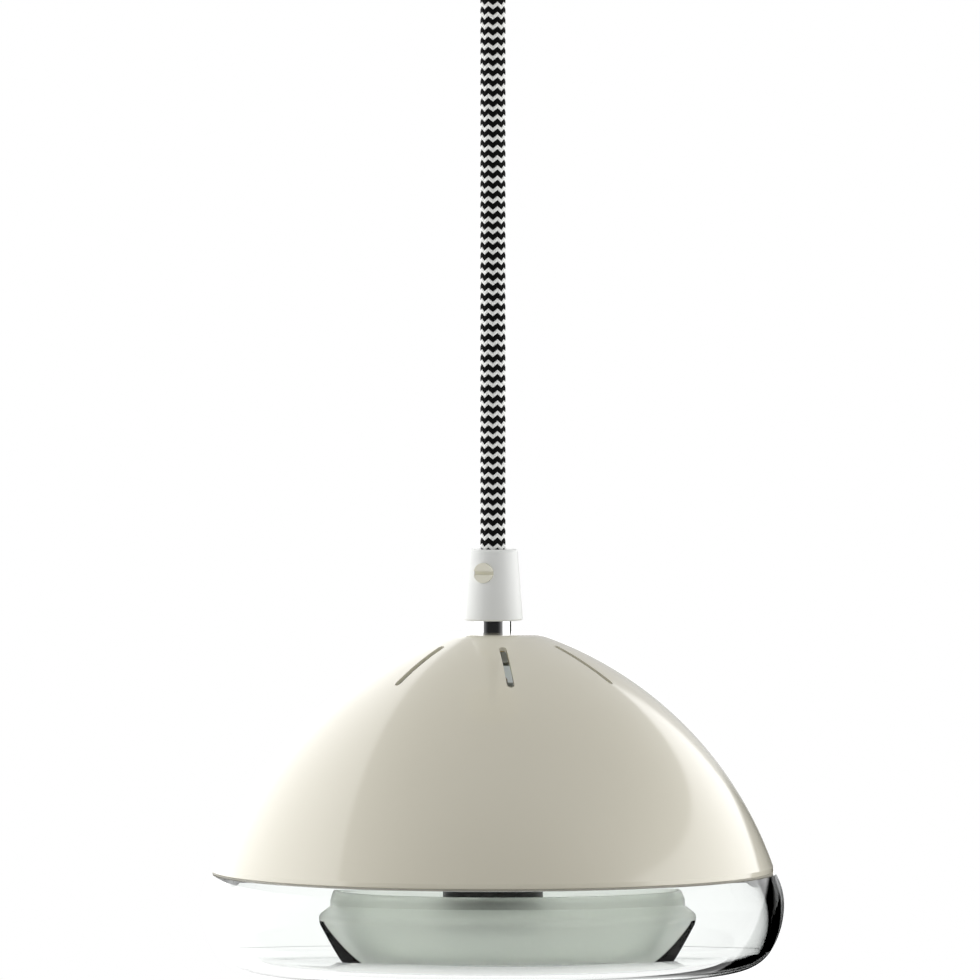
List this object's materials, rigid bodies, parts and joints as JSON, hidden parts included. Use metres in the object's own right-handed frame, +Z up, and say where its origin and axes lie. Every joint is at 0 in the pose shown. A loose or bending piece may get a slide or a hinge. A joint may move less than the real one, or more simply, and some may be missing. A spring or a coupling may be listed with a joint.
{
  "type": "pendant lamp",
  "caption": "Pendant lamp: a spun metal dome over a clear glass bowl with a satin glass dish, hung on a braided cord from a ceiling canopy.",
  "frame": {"origin": "middle of the ceiling plate's top face, where the lamp meets the ceiling", "axes": "+Z up into the ceiling; the lamp hangs down -Z; -Y faces the picture's camera and +X is its right"},
  "size_m": [0.16, 0.16, 0.3211],
  "materials": {
    "cream_lacquer": "gloss",
    "clear_glass": "gloss",
    "satin_glass": "satin",
    "bulb_glass": "gloss",
    "white_nylon": "satin",
    "cream_nylon": "satin",
    "chrome": "polished",
    "zinc_steel": "satin",
    "spring_steel": "satin",
    "brass": "satin",
    "white_ceramic": "satin",
    "white_plastic": "matte",
    "black_lacquer": "satin",
    "clear_silicone": "satin",
    "wire_cover": "satin",
    "earth_cover": "satin",
    "braid": "woven"
  },
  "bodies": {
    "ceiling": {"ceiling_plate": "zinc_steel", "cord_clamp": "zinc_steel", "clamp_screws": "zinc_steel", "terminal_block": "white_plastic", "terminal_screws": "brass", "block_screws": "zinc_steel", "ceiling_wires": "wire_cover", "cord_top": "braid"},
    "canopy": {"canopy": "cream_lacquer", "canopy_nipple": "chrome", "canopy_nut": "zinc_steel", "canopy_grip": "white_nylon"},
    "canopy_screw": {"canopy_grip_screw": "cream_nylon"},
    "swinging_cord": {"cord": "braid"},
    "lamp": {"cord_grip": "white_nylon", "nipple": "chrome", "dome": "cream_lacquer", "crown_washer": "zinc_steel", "gallery": "zinc_steel", "spring_clips": "spring_steel", "clip_rivets": "brass", "socket_bracket": "zinc_steel", "earth_lug": "brass", "lock_nut": "zinc_steel", "socket": "white_ceramic", "socket_skirt": "black_lacquer", "socket_screws": "zinc_steel", "socket_nuts": "zinc_steel", "lamp_wires": "wire_cover", "earth_wire": "earth_cover", "gasket": "clear_silicone"},
    "lamp_screw": {"cord_grip_screw": "cream_nylon"},
    "bulb": {"bulb_glass": "bulb_glass", "bulb_pins": "chrome", "bulb_filament": "spring_steel"},
    "bowl": {"glass_bowl": "clear_glass"},
    "dish": {"satin_dish": "satin_glass"}
  },
  "joints": [
    {"name": "canopy_slide", "type": "slide", "parent": "ceiling", "child": "canopy", "axis": [0, 0, -1], "range_m": [0, 0.028]},
    {"name": "canopy_screw_turn_out", "type": "slide", "parent": "canopy", "child": "canopy_screw", "axis": [-0.3665, -0.9304, 0], "range_m": [0, 0.002]},
    {"name": "lamp_swing", "type": "hinge", "parent": "ceiling", "child": "swinging_cord", "pos_m": [0, 0, -0.0755], "axis": [0, 1, 0], "range_deg": [-15, 15], "deforming": ["cord"]},
    {"name": "lamp_twist", "type": "hinge", "parent": "swinging_cord", "child": "lamp", "pos_m": [0, 0, -0.2055], "axis": [0, 0, 1], "range_deg": [-60, 60], "stiffness_Nm_per_rad": 0.01},
    {"name": "lamp_screw_turn_out", "type": "slide", "parent": "lamp", "child": "lamp_screw", "axis": [-0.3665, -0.9304, 0], "range_m": [0, 0.002]},
    {"name": "bulb_pull", "type": "slide", "parent": "lamp", "child": "bulb", "axis": [0, 0, -1], "range_m": [0, 0.011]},
    {"name": "bowl_drop", "type": "slide", "parent": "lamp", "child": "bowl", "axis": [0, 0, -1], "range_m": [0, 0.04]},
    {"name": "dish_lift", "type": "slide", "parent": "bowl", "child": "dish", "axis": [0, 0, 1], "range_m": [0, 0.008]}
  ]
}
